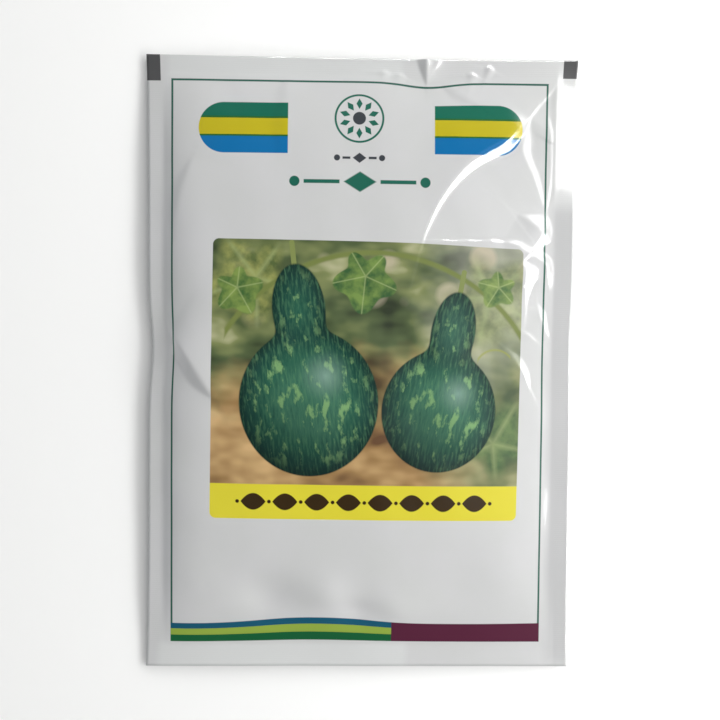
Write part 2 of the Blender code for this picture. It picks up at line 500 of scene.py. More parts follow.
    seal_ripples: Ripples = Ripples(height=0.10, shortest=24.0, longest=60.0, waves=7, start=23)
    pulls: tuple[Pull, ...] = (
        Pull((-64.0, 4.5), (9.0, 11.0), (1.2, 0.0)),
        Pull((64.0, 3.0), (9.0, 14.0), (-0.5, 0.0)),
        Pull((19.0, 83.5), (9.0, 5.5), (0.0, -1.4)),
        Pull((50.0, 36.0), (26.0, 13.0), (0.0, -1.3)),
        Pull((-13.0, -77.5), (22.0, 5.5), (0.0, 2.3)),
    )

    def insets(self, across: Array, along: Array) -> tuple[Array, Array, Array, Array]:
        """Works out how far inside each seal every place lies, 0 on the seal.

        Args:
            across: places across the film.
            along: places along the film.

        Returns:
            The distances from the left, right, bottom and top seals.
        """
        half_width, half_length = self.width / 2, self.length / 2
        left = across + half_width - self.left_seal
        right = half_width - self.right_seal - across
        bottom = along + half_length - self.bottom_seal
        top = half_length - self.top_seal - along
        return tuple(np.maximum(gap, 0.0) for gap in (left, right, bottom, top))

    def seal_level(self, across: Array, along: Array) -> Array:
        """Works out how high the weld's middle lies: it droops at the corners and curls at the top right.

        Args:
            across: places across the film.
            along: places along the film.

        Returns:
            The height at each place.
        """
        u = np.clip(across / (self.width / 2 - self.left_seal), -1.0, 1.0)
        v = np.clip(along / (self.length / 2 - self.top_seal), -1.0, 1.0)
        past = np.maximum(across - self.curl_from, 0.0)
        low_end = smooth((along - self.curl_bottom[0]) / (self.curl_bottom[1] - self.curl_bottom[0]))
        high_end = smooth((self.curl_top[0] - along) / (self.curl_top[0] - self.curl_top[1]))
        curl = self.curl_slope * past * low_end * high_end
        droop = self.left_droop * np.maximum(-self.width / 2 + self.left_seal - across, 0.0)
        wave = self.seal_ripples.lift(across, along) * np.maximum(np.abs(u), np.abs(v)) ** self.wave_power
        return self.seal_height - self.corner_droop * u**4 * v**4 - curl - droop + wave

    def rise(self, across: Array, along: Array) -> Array:
        """Works out how far the bulge has risen.

        Args:
            across: places across the film.
            along: places along the film.

        Returns:
            The share of the full bulge at each place: 0 on the seals, 1 in the middle.
        """
        shoulders = (self.left_shoulder, self.right_shoulder, self.bottom_shoulder, self.top_shoulder)
        total = np.ones(across.shape)
        for gap, shoulder in zip(self.insets(across, along), shoulders):
            total *= shoulder.rise(np.sqrt(gap**2 + self.edge_ease**2) - self.edge_ease)
        return total

    def in_plan(self, across: Array, along: Array) -> tuple[Array, Array]:
        """Works out where each place of the flat film lies in plan, once the bulge has drawn the seals in.

        Args:
            across: places across the film.
            along: places along the film.

        Returns:
            The places in plan, across and along.
        """
        u, v = across / (self.width / 2), along / (self.length / 2)
        left, right, bottom, top = self.insets(across, along)
        side_pull = self.side_draw_in * (1 - v**4) * np.exp(-np.minimum(left, right) / self.draw_in_reach)
        end_pull = self.end_draw_in * (1 - u**4) * np.exp(-np.minimum(bottom, top) / self.draw_in_reach)
        x = across - np.sign(across) * side_pull
        y = along - np.sign(along) * end_pull
        for pull in self.pulls:
            share = pull.share(across, along)
            x = x + pull.shift[0] * share
            y = y + pull.shift[1] * share
        return x, y

    def front(self, across: Array, along: Array) -> Array:
        """Places the front panel's outer, printed face.

        Args:
            across: places across the film.
            along: places along the film.

        Returns:
            One point for each place, in millimetres.
        """
        x, y = self.in_plan(across, along)
        inside = smooth(np.minimum.reduce(self.insets(across, along)) / self.seal_ease)
        z = self.seal_level(across, along) + self.seal_gap / 2 + self.film
        z = z + self.front_rise * self.rise(across, along)
        for pleat in self.pleats:
            z = z + pleat.lift(across, along)
        for shape in (*self.creases, *self.swells, *self.ripples):
            z = z + shape.lift(across, along) * inside
        return np.stack([x, y, z], axis=-1)

    def back(self, across: Array, along: Array) -> Array:
        """Places the back panel's outer face, which lies flat on the surface a shoulder inside the seals.

        Args:
            across: places across the film.
            along: places along the film.

        Returns:
            One point for each place, in millimetres.
        """
        x, y = self.in_plan(across, along)
        left, right, bottom, top = self.insets(across, along)
        side_share = np.maximum(0.0, 1 - np.minimum(left, right) / self.back_shoulder)
        end_share = np.maximum(0.0, 1 - np.minimum(bottom, top) / self.back_shoulder)
        lift = 1 - (1 - side_share**2) * (1 - end_share**2)
        z = (self.seal_level(across, along) - self.seal_gap / 2 - self.film) * lift
        inside = smooth(np.minimum.reduce(self.insets(across, along)) / self.seal_ease)
        for pleat in self.pleats:
            z = z + pleat.lift(across, along) * (1.0 - inside)
        return np.stack([x, y, z], axis=-1)


# Drawing with shader nodes


class Wire:
    """A value that a shader works out at each place. Arithmetic on it adds the nodes that do the same."""

    def __init__(self, graph: Graph, socket: bpy.types.NodeSocket) -> None:
        """Keeps the socket that gives the value, and the graph that it is in."""
        self.graph = graph
        self.socket = socket

    def __add__(self, other: Number) -> Wire:
        """Adds a number."""
        return self.graph.math("ADD", self, other)

    def __sub__(self, other: Number) -> Wire:
        """Takes a number away."""
        return self.graph.math("SUBTRACT", self, other)

    def __rsub__(self, other: float) -> Wire:
        """Takes the value away from a number."""
        return self.graph.math("SUBTRACT", other, self)

    def __mul__(self, other: Number) -> Wire:
        """Multiplies by a number."""
        return self.graph.math("MULTIPLY", self, other)

    def __truediv__(self, other: Number) -> Wire:
        """Divides by a number."""
        return self.graph.math("DIVIDE", self, other)

    def __pow__(self, power: float) -> Wire:
        """Raises to a power."""
        return self.graph.math("POWER", self, power)

    def __abs__(self) -> Wire:
        """Drops the sign."""
        return self.graph.math("ABSOLUTE", self)


Number = float | Wire
Colour = Wire | Ink | str
Scale = tuple[tuple[float, Colour], ...]


def shader_colour(colour: Colour) -> Wire | tuple[float, float, float, float]:
    """Turns a colour into one that shaders take.

    Args:
        colour: an ink, a screen colour, or a wire, which stays as it is.

    Returns:
        The wire, or the linear colour.
    """
    if isinstance(colour, Ink):
        colour = colour.value
    return linear(colour) if isinstance(colour, str) else colour


class Graph:
    """The nodes of a material or world, built by plain calls that give back the value to go on from."""

    def __init__(self, owner: bpy.types.Material | bpy.types.World, shader: str = "Principled BSDF") -> None:
        """Takes over the nodes of a material or world.

        Args:
            owner: the material or world.
            shader: the name of the shader node that it starts with.
        """
        owner.use_nodes = True
        self.owner = owner
        self.tree = owner.node_tree
        self.shader = self.tree.nodes[shader]

    @classmethod
    def of_material(cls, name: str) -> Graph:
        """Makes a material of a name, and gives its nodes."""
        return cls(bpy.data.materials.new(name))

    def feed(self, socket: bpy.types.NodeSocket, value: Number | tuple[float, ...]) -> None:
        """Links a wire into a socket, or sets the socket to a number or a colour.

        Args:
            socket: the socket.
            value: the wire, the number or the colour.
        """
        if isinstance(value, Wire):
            self.tree.links.new(value.socket, socket)
        else:
            socket.default_value = value

    def shade(self, **values: Number | tuple[float, ...]) -> None:
        """Feeds the shader's inputs.

        Args:
            values: what each input is fed, by its name in small letters with _ for each space.
        """
        for socket in self.shader.inputs:
            name = socket.name.lower().replace(" ", "_")
            if name in values:
                self.feed(socket, values[name])

    def node(self, kind: str, feeds: dict[int | str, object], **settings: object) -> bpy.types.Node:
        """Adds a node.

        Args:
            kind: the node's kind.
            feeds: what its inputs are fed, by their numbers or names.
            settings: the node's options.

        Returns:
            The node.
        """
        node = self.tree.nodes.new(kind)
        for name, value in settings.items():
            setattr(node, name, value)
        for key, value in feeds.items():
            self.feed(node.inputs[key], value)
        return node

    def read(
        self, kind: str, feeds: dict[int | str, object], output: int | str = 0, **settings: object
    ) -> Wire:
        """Adds a node as above, and gives one of its outputs."""
        return Wire(self, self.node(kind, feeds, **settings).outputs[output])

    def math(self, operation: str, *values: Number) -> Wire:
        """Works out one number from up to three others."""
        return self.read("ShaderNodeMath", dict(enumerate(values)), operation=operation)

    def largest(self, first: Number, *others: Number) -> Wire:
        """Gives the largest of some numbers."""
        return reduce(lambda found, other: self.math("MAXIMUM", found, other), others, first)

    def smallest(self, first: Number, *others: Number) -> Wire:
        """Gives the smallest of some numbers."""
        return reduce(lambda found, other: self.math("MINIMUM", found, other), others, first)

    def vector(self, operation: str, *values: Wire | tuple[float, float, float]) -> Wire:
        """Works out a place from one or two others."""
        return self.read("ShaderNodeVectorMath", dict(enumerate(values)), "Vector", operation=operation)

    def dot(self, place: Wire, heading: tuple[float, float, float]) -> Wire:
        """Works out how far a place lies along a heading."""
        return self.read("ShaderNodeVectorMath", {0: place, 1: heading}, "Value", operation="DOT_PRODUCT")

    def length(self, place: Wire) -> Wire:
        """Works out how far a place lies from the middle."""
        return self.read("ShaderNodeVectorMath", {0: place}, "Value", operation="LENGTH")

    def join(self, across: Number, along: Number) -> Wire:
        """Makes a place from two numbers."""
        return self.read("ShaderNodeCombineXYZ", {0: across, 1: along})

    def split(self, place: Wire) -> tuple[Wire, Wire]:
        """Takes a place apart into its two numbers."""
        node = self.node("ShaderNodeSeparateXYZ", {0: place})
        return Wire(self, node.outputs[0]), Wire(self, node.outputs[1])

    def ramp(self, value: Number, low: float, high: float) -> Wire:
        """Runs from 0 where the value is low to 1 where it is high, and holds there."""
        feeds = dict(enumerate((value, low, high, 0.0, 1.0)))
        return self.read("ShaderNodeMapRange", feeds, clamp=True)

    def inside(self, distance: Number, soft: float) -> Wire:
        """Runs from 0 outside a shape's edge to 1 inside it, over twice the given softness."""
        return self.ramp(distance, soft, -soft)

    def mix(self, share: Number, low: Colour, high: Colour) -> Wire:
        """Blends from one colour, at share 0, to another, at share 1."""
        feeds = {0: share, 6: shader_colour(low), 7: shader_colour(high)}
        return self.read("ShaderNodeMix", feeds, 2, data_type="RGBA")

    def colours(self, value: Number, scale: Scale, crisp: bool = False) -> Wire:
        """Reads a colour off a scale.

        Args:
            value: where on the scale, from 0 to 1.
            scale: places on the scale, in order, each with its colour.
            crisp: whether each colour holds until the next one starts.

        Returns:
            The colour.
        """
        node = self.node("ShaderNodeValToRGB", {0: value})
        ramp = node.color_ramp
        ramp.interpolation = "CONSTANT" if crisp else "LINEAR"
        while len(ramp.elements) < len(scale):
            ramp.elements.new(0.5)
        for stop, (place, colour) in zip(ramp.elements, scale):
            stop.position = place
            stop.color = shader_colour(colour)
        return Wire(self, node.outputs[0])

    def noise(self, place: Wire, scale: float, detail: float = 2.0, roughness: float = 0.5) -> Wire:
        """Gives cloudy noise, about 0.5 on average."""
        feeds = {"Vector": place, "Scale": scale, "Detail": detail, "Roughness": roughness}
        return self.read("ShaderNodeTexNoise", feeds, noise_dimensions="3D")

    def cells(self, place: Wire, scale: float) -> Wire:
        """Gives the distance to the nearest of many scattered points."""
        feeds = {"Vector": place, "Scale": scale}
        return self.read("ShaderNodeTexVoronoi", feeds, "Distance", voronoi_dimensions="3D", feature="F1")


@dataclass(frozen=True)
class Mottle:
    """Patches of one colour over another, which come in where a value passes between two levels."""

    colour: Colour
    between: Place
    share: float = 1.0

    def over(self, graph: Graph, value: Wire, under: Colour) -> Wire:
        """Lays the patches over a colour, and gives the new colour."""
        return graph.mix(graph.ramp(value, *self.between) * self.share, under, self.colour)


@dataclass(frozen=True)
class Sheet:
    """The printed face that a design is laid on: its nodes, and the place on the film in millimetres."""

    graph: Graph
    place: Wire
    across: Wire
    along: Wire
    edge: float = 0.07

    def offset(self, middle: Place) -> Wire:
        """Gives each place as counted from a new middle."""
        return self.graph.vector("SUBTRACT", self.place, (*middle, 0.0))

    def turned(self, middle: Place, turn: float = 0.0) -> Sheet:
        """Gives the same sheet with its places counted from a new middle and turned by an angle.

        Args:
            middle: the new middle, in this sheet's places.
            turn: the angle anticlockwise, in degrees.

        Returns:
            The sheet with new places.
        """
        offset, angle = self.offset(middle), math.radians(turn)
        across = self.graph.dot(offset, (math.cos(angle), math.sin(angle), 0.0))
        along = self.graph.dot(offset, (-math.sin(angle), math.cos(angle), 0.0))
        return replace(self, place=self.graph.join(across, along), across=across, along=along)

    def box(self, middle: Place, half: Place, corner: float = 0.0) -> Wire:
        """Covers a rectangle.

        Args:
            middle: the rectangle's middle.
            half: its half width and half height.
            corner: the radius of its corners.

        Returns:
            1 inside the rectangle and 0 outside.
        """
        graph = self.graph
        offset = graph.vector("ABSOLUTE", self.offset(middle))
        past = graph.vector("SUBTRACT", offset, (half[0] - corner, half[1] - corner, 0.0))
        if corner:
            distance = graph.length(graph.vector("MAXIMUM", past, (0.0, 0.0, 0.0)))
            return graph.ramp(distance, corner + self.edge, corner - self.edge)
        return graph.inside(graph.largest(*graph.split(past)), self.edge)

    def oval(self, middle: Place, half: Place) -> Wire:
        """Gives how far outside an oval each place lies, below 0 inside."""
        scaled = self.graph.vector("DIVIDE", self.offset(middle), (*half, 1.0))
        return (self.graph.length(scaled) - 1.0) * min(half)


# The print


class Design(Protocol):
    """Anything laid on the film's colour: print, or a tint of painted light or painted shade."""

    def lay(self, sheet: Sheet, under: Wire) -> Wire:
        """Lays the design over what is printed so far, and gives the new colour."""


@dataclass(frozen=True)
class BorderLine:
    """The thin frame line round the packet's face."""

    middle: Place = (-0.7, 0.35)
    half: Place = (55.95, 84.15)
    thickness: float = 0.62

    def lay(self, sheet: Sheet, under: Wire) -> Wire:
        """Lays the line over what is printed so far.

        Args:
            sheet: the printed face.
            under: the colour so far.

        Returns:
            The new colour.
        """
        outer = sheet.box(self.middle, self.half)
        inner = sheet.box(self.middle, (self.half[0] - self.thickness, self.half[1] - self.thickness))
        return sheet.graph.mix(outer - inner, under, Ink.LINE_GREEN)


@dataclass(frozen=True)
class StripedBar:
    """A bar of three colours at the packet's head, round at its outer end and square at its inner end."""

    middle: Place
    half: Place
    outward: Side
    end_flat: float = 0.01
    stripes: Scale = (
        (0.0, Ink.BAR_BLUE),
        (0.325, Ink.SEAM_GREEN),
        (0.362, Ink.BAR_YELLOW),
        (0.685, Ink.SEAM_GREEN),
        (0.725, Ink.BAR_GREEN),
    )

    def lay(self, sheet: Sheet, under: Wire) -> Wire:
        """Lays the bar over what is printed so far.

        Args:
            sheet: the printed face.
            under: the colour so far.

        Returns:
            The new colour.
        """
        graph, radius = sheet.graph, self.half[1]
        inner_end = self.middle[0] + self.half[0] * self.outward.value
        whole_half = (2 * self.half[0], radius)
        whole = sheet.box((inner_end, self.middle[1]), whole_half, corner=radius - self.end_flat)
        past = (sheet.across - inner_end) * self.outward.value
        height = graph.ramp(sheet.along, self.middle[1] - radius, self.middle[1] + radius)
        stripes = graph.colours(height, self.stripes, crisp=True)
        return graph.mix(whole * graph.inside(past, sheet.edge), under, stripes)


@dataclass(frozen=True)
class FootStripes:
    """The stripe along the packet's foot: three colours on the left, one on the right."""

    middle: Place = (-0.7, -80.85)
    half: Place = (55.9, 2.95)
    change_at: float = 10.0
    stripes: Scale = ((0.0, Ink.STRIPE_GREEN), (0.36, Ink.STRIPE_LIME), (0.70, Ink.STRIPE_BLUE))

    def lay(self, sheet: Sheet, under: Wire) -> Wire:
        """Lays the stripe over what is printed so far.

        Args:
            sheet: the printed face.
            under: the colour so far.

        Returns:
            The new colour.
        """
        graph = sheet.graph
        height = graph.ramp(sheet.along, self.middle[1] - self.half[1], self.middle[1] + self.half[1])
        past = graph.ramp(sheet.across, self.change_at - sheet.edge, self.change_at + sheet.edge)
        colour = graph.mix(past, graph.colours(height, self.stripes, crisp=True), Ink.STRIPE_MAROON)
        return graph.mix(sheet.box(self.middle, self.half), under, colour)


@dataclass(frozen=True)
class Badge:
    """A plain rosette at the packet's head: a disc, a thin ring and lozenges between them."""

    middle: Place = (-1.1, 73.0)
    disc: float = 1.9
    ring: float = 7.0
    ring_thickness: float = 0.6
    lozenges: int = 10
    lozenge_middle: float = 4.4
    lozenge_half: Place = (1.6, 0.9)
    lozenge_soft: float = 0.06

    def lay(self, sheet: Sheet, under: Wire) -> Wire:
        """Lays the rosette over what is printed so far.

        Args:
            sheet: the printed face.
            under: the colour so far.

        Returns:
            The new colour.
        """
        here, graph = sheet.turned(self.middle), sheet.graph
        distance = graph.length(here.place)
        ring = graph.inside(abs(distance - self.ring) - self.ring_thickness / 2, sheet.edge)
        under = graph.mix(ring, under, Ink.BADGE_GREEN)
        angle = graph.math("ARCTAN2", here.along, here.across)
        share = graph.math("FRACT", angle * (self.lozenges / (2 * math.pi)))
        turned = (share - 0.5) * (2 * math.pi / self.lozenges)
        out = abs(distance * graph.math("COSINE", turned) - self.lozenge_middle)
        aside = abs(distance * graph.math("SINE", turned))
        past = out / self.lozenge_half[0] + aside / self.lozenge_half[1] - 1.0
        under = graph.mix(graph.inside(past, self.lozenge_soft), under, Ink.BADGE_GREEN)
        return graph.mix(graph.inside(distance - self.disc, sheet.edge), under, Ink.BADGE_DARK)


@dataclass(frozen=True)
class Divider:
    """A thin rule with a lozenge in its middle and a bead at each end."""

    middle: Place
    half_length: float = 19.2
    thickness: float = 1.1
    lozenge_half: Place = (4.8, 3.0)
    bead: float = 1.5
    gap: float = 1.2
    ink: Ink = Ink.BADGE_GREEN

    def lay(self, sheet: Sheet, under: Wire) -> Wire:
        """Lays the rule over what is printed so far.

        Args:
            sheet: the printed face.
            under: the colour so far.

        Returns:
            The new colour.
        """
        graph = sheet.graph
        offset = graph.vector("ABSOLUTE", sheet.offset(self.middle))
        aside, up = graph.split(offset)
        inner_end = (self.lozenge_half[0] + self.gap) - aside
        outer_end = aside - (self.half_length - self.bead - self.gap)
        rule = graph.largest(up - self.thickness / 2, inner_end, outer_end)
        bead = graph.length(graph.vector("SUBTRACT", offset, (self.half_length, 0.0, 0.0))) - self.bead
        lozenge = aside / self.lozenge_half[0] + up / self.lozenge_half[1] - 1.0
        shape = graph.smallest(rule, bead, lozenge)
        return graph.mix(graph.inside(shape, sheet.edge), under, self.ink)


@dataclass(frozen=True)
class Block:
    """A plain block of one colour, a printed ink or a tint of painted light or shade, with rounded corners
    and an edge that may be soft.
    """

    middle: Place
    half: Place
    ink: Ink
    corner: float = 0.0
    soft: float = 0.07

    def lay(self, sheet: Sheet, under: Wire) -> Wire:
        """Lays the block over what is printed so far, and gives the new colour."""
        block = replace(sheet, edge=self.soft).box(self.middle, self.half, self.corner)
        return sheet.graph.mix(block, under, self.ink)


@dataclass(frozen=True)
class BlankTable:
    """The ruled table on the packet's back, left bare."""

    middle: Place = (0.0, -30.0)
    half: Place = (44.0, 26.0)
    rows: int = 6
    line: float = 0.35
    split_at: float = -12.0

    def lay(self, sheet: Sheet, under: Wire) -> Wire:
        """Lays the table over what is printed so far.

        Args:
            sheet: the printed face.
            under: the colour so far.

        Returns:
            The new colour.
        """
        here, graph = sheet.turned(self.middle), sheet.graph
        row = 2 * self.half[1] / self.rows
        share = graph.math("FRACT", here.along / row + (0.5 * self.rows + 0.5))
        to_line = graph.smallest(abs(share - 0.5) * row, abs(here.across - self.split_at))
        inner = here.box((0.0, 0.0), (self.half[0] - self.line, self.half[1] - self.line))
        outer = here.box((0.0, 0.0), self.half)
        cover = graph.inside(to_line - self.line / 2, sheet.edge) * inner + (outer - inner)
        return graph.mix(cover, under, Ink.TABLE_GREY)


@dataclass(frozen=True)
class PrintedGourd:
    """A bottle-shaped gourd in the picture: a round body with a slim neck, shaded and mottled.

    The places and sizes of the shading are shares of the body's half width and half height.
    """

    middle: Place
    turn: float
    body: Place
    neck_at: float
    neck: Place
    blend: float = 5.0
    edge: float = 0.18
    stalk: Place = (0.75, 4.2)
    stalk_out: float = 2.8
    stalk_corner: float = 0.7
    stalk_colour: str = "#8a9657"
    rim: float = 0.62
    skin: Scale = ((0.0, "#13302b"), (0.22, "#1f4a40"), (0.6, "#2f6451"), (1.0, "#437760"))
    streak_stretch: tuple[float, float, float] = (1.5, 0.22, 1.0)
    pale_streaks: Mottle = Mottle("#5d9268", (0.48, 0.70), 0.55)
    dark_streaks: Mottle = Mottle("#163c36", (0.44, 0.28), 0.5)
    spot_stretch: tuple[float, float, float] = (0.30, 0.15, 1.0)
    spot_levels: Place = (0.545, 0.63)
    spots: Mottle = Mottle("#8fbd7c", (0.0, 1.0), 0.80)
    spots_fade: float = 0.45
    shade: Mottle = Mottle("#0d211f", (0.2, -1.15), 0.72)
    shade_lean: float = 0.55
    glow: Mottle = Mottle("#9dbdb0", (0.0, 1.0), 0.6)
    glow_middle: Place = (0.28, 0.34)
    glow_half: Place = (0.42, 0.40)
    glow_fall: float = 1.6

    def mottled(self, here: Sheet, depth: Wire) -> Wire:
        """Colours the skin, before its shading.

        Args:
            here: the sheet, with its places counted from the body's middle.
            depth: how far inside the outline each place lies, as a share.

        Returns:
            The colour.
        """
        graph = here.graph
        streaks = graph.noise(graph.vector("MULTIPLY", here.place, self.streak_stretch), 1.0, 3.0, 0.6)
        skin = self.pale_streaks.over(graph, streaks, graph.colours(depth, self.skin))
        skin = self.dark_streaks.over(graph, streaks, skin)
        spots = graph.noise(graph.vector("MULTIPLY", here.place, self.spot_stretch), 1.0, 4.0, 0.58)
        spots = graph.ramp(spots, *self.spot_levels) * graph.ramp(depth, 0.0, self.spots_fade)
        return self.spots.over(graph, spots, skin)

    def lit(self, here: Sheet, skin: Wire) -> Wire:
        """Shades the skin towards the foot and adds the soft glow at its head.

        Args:
            here: the sheet, with its places counted from the body's middle.
            skin: the colour so far.

        Returns:
            The new colour.
        """
        graph, (half_width, half_height) = here.graph, self.body
        skin = self.shade.over(graph, (here.along + here.across * self.shade_lean) / half_height, skin)
        middle = (half_width * self.glow_middle[0], half_height * self.glow_middle[1])
        half = (half_width * self.glow_half[0], half_height * self.glow_half[1])
        glow = graph.ramp(here.oval(middle, half), 0.0, -min(half)) ** self.glow_fall
        return self.glow.over(graph, glow, skin)

    def lay(self, sheet: Sheet, under: Wire) -> Wire:
        """Lays the gourd over what is printed so far.

        Args:
            sheet: the printed face.
            under: the colour so far.

        Returns:
            The new colour.
        """
        here, graph = sheet.turned(self.middle, self.turn), sheet.graph
        stalk_middle = (0.0, self.neck_at + self.neck[1] + self.stalk_out)
        under = graph.mix(here.box(stalk_middle, self.stalk, self.stalk_corner), under, self.stalk_colour)
        body, neck = here.oval((0.0, 0.0), self.body), here.oval((0.0, self.neck_at), self.neck)
        distance = graph.math("SMOOTH_MIN", body, neck, self.blend)
        depth = graph.ramp(distance, 0.0, -self.rim * self.body[0])
        skin = self.lit(here, self.mottled(here, depth))
        return graph.mix(graph.inside(distance, self.edge), under, skin)


@dataclass(frozen=True)
class PrintedLeaf:
    """A five-lobed leaf in the picture, sharp or out of focus."""

    middle: Place
    turn: float
    size: float
    light: str
    dark: str
    soft: float = 0.25
    strength: float = 1.0
    lobes: float = 5.0
    reach_share: float = 0.72
    lobe_share: float = 0.13
    tip_share: float = 0.16
    mottle: Place = (0.36, 0.64)
    vein: str = "#b9c789"
    vein_edges: Place = (0.5, 0.1)
    vein_share: float = 0.45

    def lay(self, sheet: Sheet, under: Wire) -> Wire:
        """Lays the leaf over what is printed so far.

        Args:
            sheet: the printed face.
            under: the colour so far.

        Returns:
            The new colour.
        """
        here, graph = sheet.turned(self.middle, self.turn), sheet.graph
        angle = graph.math("ARCTAN2", here.along, here.across)
        from_middle = graph.length(here.place)
        lobe = graph.math("COSINE", angle * self.lobes) * (self.lobe_share * self.size)
        tip = graph.math("COSINE", angle) * (self.tip_share * self.size)
        distance = from_middle - (lobe + tip + self.reach_share * self.size)
        blade = Mottle(self.light, self.mottle).over(graph, graph.noise(here.place, 0.22, 3.0), self.dark)
        from_vein = abs(graph.math("SINE", angle * (self.lobes / 2))) * from_middle
        vein_edge, vein_core = self.vein_edges
        veins = Mottle(self.vein, (vein_edge + self.soft, vein_core), self.vein_share)
        cover = graph.inside(distance, self.soft) * self.strength
        return graph.mix(cover, under, veins.over(graph, from_vein, blade))


@dataclass(frozen=True)
class Tendril:
    """A thin shoot in the picture that runs in one arc of a circle."""

    middle: Place
    radius: float
    thickness: float
    between: Place
    colour: str
    soft: float = 0.3

    def lay(self, sheet: Sheet, under: Wire) -> Wire:
        """Lays the shoot over what is printed so far.

        Args:
            sheet: the printed face.
            under: the colour so far.

        Returns:
            The new colour.
        """
        here, graph = sheet.turned(self.middle), sheet.graph
        line = abs(graph.length(here.place) - self.radius) - self.thickness / 2
        start, end = self.between
        shape = graph.largest(line, start - here.across, here.across - end, here.along * -1.0)
        return graph.mix(graph.inside(shape, self.soft), under, self.colour)


@dataclass(frozen=True)
class BlurredField:
    """The blurred field behind the gourds: leaves above, dry soil at the lower left, haze at the right.

    A level is how far up the picture a place lies, and a side how far to the right, both swayed by a cloud.
    """

    cloud_scale: float = 0.050
    blotch_scale: float = 0.085
    blotch_shift: tuple[float, float, float] = (71.0, 13.0, 5.0)
    blotch_stretch: tuple[float, float, float] = (0.8, 1.35, 1.0)
    blotch_levels: Place = (0.3, 0.7)
    leaf_levels: Place = (0.28, 0.72)
    soil: Scale = ((0.0, "#6e5139"), (0.45, "#a98658"), (1.0, "#dcb883"))
    leaves: Scale = ((0.0, "#333d2a"), (0.35, "#586743"), (0.7, "#87905d"), (1.0, "#c6c59c"))
    shade: Scale = ((0.0, "#4f6447"), (0.5, "#7c8b62"), (1.0, "#b3b58a"))
    haze: Scale = ((0.0, "#a6a998"), (0.5, "#c4c5b0"), (1.0, "#dedccb"))
    level_sway: float = 46.0
    leaves_from: Place = (12.0, 34.0)
    haze_from: Place = (20.0, 44.0)
    side_sway: float = 30.0
    side_from: Place = (28.0, 52.0)
    side_share: float = 0.85
    gleam_shift: tuple[float, float, float] = (3.0, 1.0, 0.0)
    gleam_scale: float = 0.085
    gleam_edges: Place = (0.42, 0.30)
    gleam_from: Place = (12.0, 32.0)
    gleams: Mottle = Mottle("#dccdb4", (0.0, 1.0), 0.55)

    def draw(self, sheet: Sheet) -> Wire:
        """Draws the field.

        Args:
            sheet: the printed face, with its places counted from the picture's middle.

        Returns:
            The colour.
        """
        graph = sheet.graph
        cloud = graph.noise(sheet.place, self.cloud_scale, 3.0, 0.55)
        shifted = graph.vector("ADD", sheet.place, self.blotch_shift)
        blotch = graph.noise(graph.vector("MULTIPLY", shifted, self.blotch_stretch), self.blotch_scale)
        tone = graph.ramp(blotch, *self.blotch_levels)
        soil, shade, haze = (graph.colours(tone, scale) for scale in (self.soil, self.shade, self.haze))
        leaves = graph.colours(graph.ramp(blotch, *self.leaf_levels), self.leaves)
        level = sheet.along + cloud * self.level_sway
        side = sheet.across + cloud * self.side_sway
        colour = graph.mix(graph.ramp(level, *self.leaves_from), soil, leaves)
        right = graph.mix(graph.ramp(level, *self.haze_from), shade, haze)
        colour = graph.mix(graph.ramp(side, *self.side_from) * self.side_share, colour, right)
        gleams = graph.cells(graph.vector("ADD", sheet.place, self.gleam_shift), self.gleam_scale)
        gleams = graph.ramp(gleams, *self.gleam_edges) * graph.ramp(sheet.along, *self.gleam_from)
        return self.gleams.over(graph, gleams, colour)


